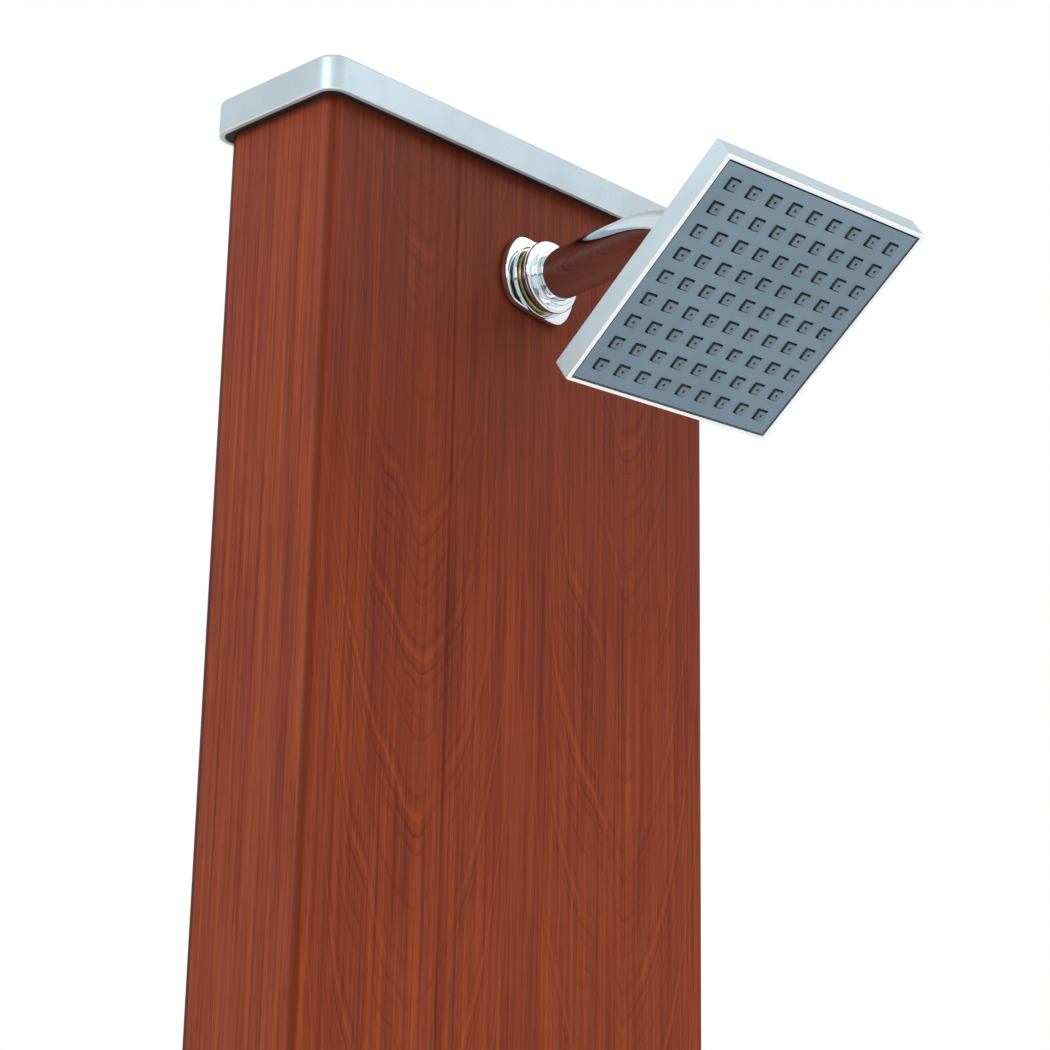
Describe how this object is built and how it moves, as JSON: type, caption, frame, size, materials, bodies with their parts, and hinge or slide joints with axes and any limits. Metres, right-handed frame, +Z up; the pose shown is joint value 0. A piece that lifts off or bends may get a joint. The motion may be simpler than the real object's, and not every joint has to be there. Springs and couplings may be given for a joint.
{
  "type": "outdoor shower post",
  "caption": "Rectangular wood-effect column with a tray cap, a bent chrome arm on a flanged union, a tilting square shower head on a ball joint, and a quarter-turn lever valve.",
  "frame": {"origin": "on the floor under the middle of the column, at the centre of the four floor bolts", "axes": "+Z up along the column, the front of the post and the shower arm point along -Y, +X to the right seen from behind"},
  "size_m": [0.31, 0.2682, 2.15],
  "materials": {
    "wood_film": "wood-effect film on a drawn aluminium profile",
    "silver_cap": "satin silver",
    "chrome": "polished",
    "brass": "bare machined",
    "steel": "stainless",
    "face": "satin",
    "black_rubber": "matt",
    "grey_rubber": "matt silicone",
    "white_plastic": "low friction",
    "hose_braid": "steel braid over rubber"
  },
  "bodies": {
    "post": {"post_profile": "wood_film", "top_cap": "silver_cap", "cap_seal": "black_rubber", "cap_screws": "steel", "base_plate": "steel", "right_bracket": "steel", "left_bracket": "steel", "bracket_bolts": "steel", "side_screws": "steel", "base_cover": "silver_cap", "flange_gasket": "black_rubber", "wall_flange": "chrome", "brass_ring": "brass", "wall_nipple": "chrome", "lock_washer": "steel", "lock_nut": "brass", "union_seal": "black_rubber", "arm_collar": "chrome", "shower_arm": "chrome", "ball_stud": "chrome", "valve_body": "brass", "valve_nut": "brass", "valve_rose": "chrome", "valve_cartridge": "brass", "arm_elbow": "brass", "riser_hose": "hose_braid", "riser_top_nut": "brass", "riser_foot_nut": "brass", "supply_hose": "hose_braid", "supply_top_nut": "brass", "supply_foot_nut": "brass", "inlet_seal": "black_rubber", "inlet_nipple": "brass", "inlet_washer": "steel", "inlet_nut": "brass", "inlet_elbow": "brass"},
    "swivel_cup": {"ball_seat": "white_plastic"},
    "swivel_nut": {"ball_nut": "chrome"},
    "head": {"head_shell": "chrome", "head_face": "face", "nozzle_mat": "grey_rubber", "inner_cover": "white_plastic", "inlet_filter": "black_rubber"},
    "lever": {"valve_spindle": "brass", "lever_handle": "chrome", "lever_screw": "steel", "lever_plug": "chrome"}
  },
  "joints": [
    {"name": "head_tilt", "type": "hinge", "parent": "post", "child": "swivel_cup", "pos_m": [0, -0.12137, 2.07958], "axis": [0.99, -0.1409, 0], "range_deg": [-32, 5]},
    {"name": "head_sway", "type": "hinge", "parent": "swivel_cup", "child": "swivel_nut", "pos_m": [0, -0.12137, 2.07958], "axis": [0.1136, 0.7979, -0.592], "range_deg": [-20, 8]},
    {"name": "head_spin", "type": "hinge", "parent": "swivel_nut", "child": "head", "pos_m": [0, -0.12137, 2.07958], "axis": [0.0834, 0.5861, 0.8059], "continuous": true},
    {"name": "lever_turn", "type": "hinge", "parent": "post", "child": "lever", "pos_m": [0, -0.03, 1.08], "axis": [0, -1, 0], "range_deg": [0, 90]}
  ]
}
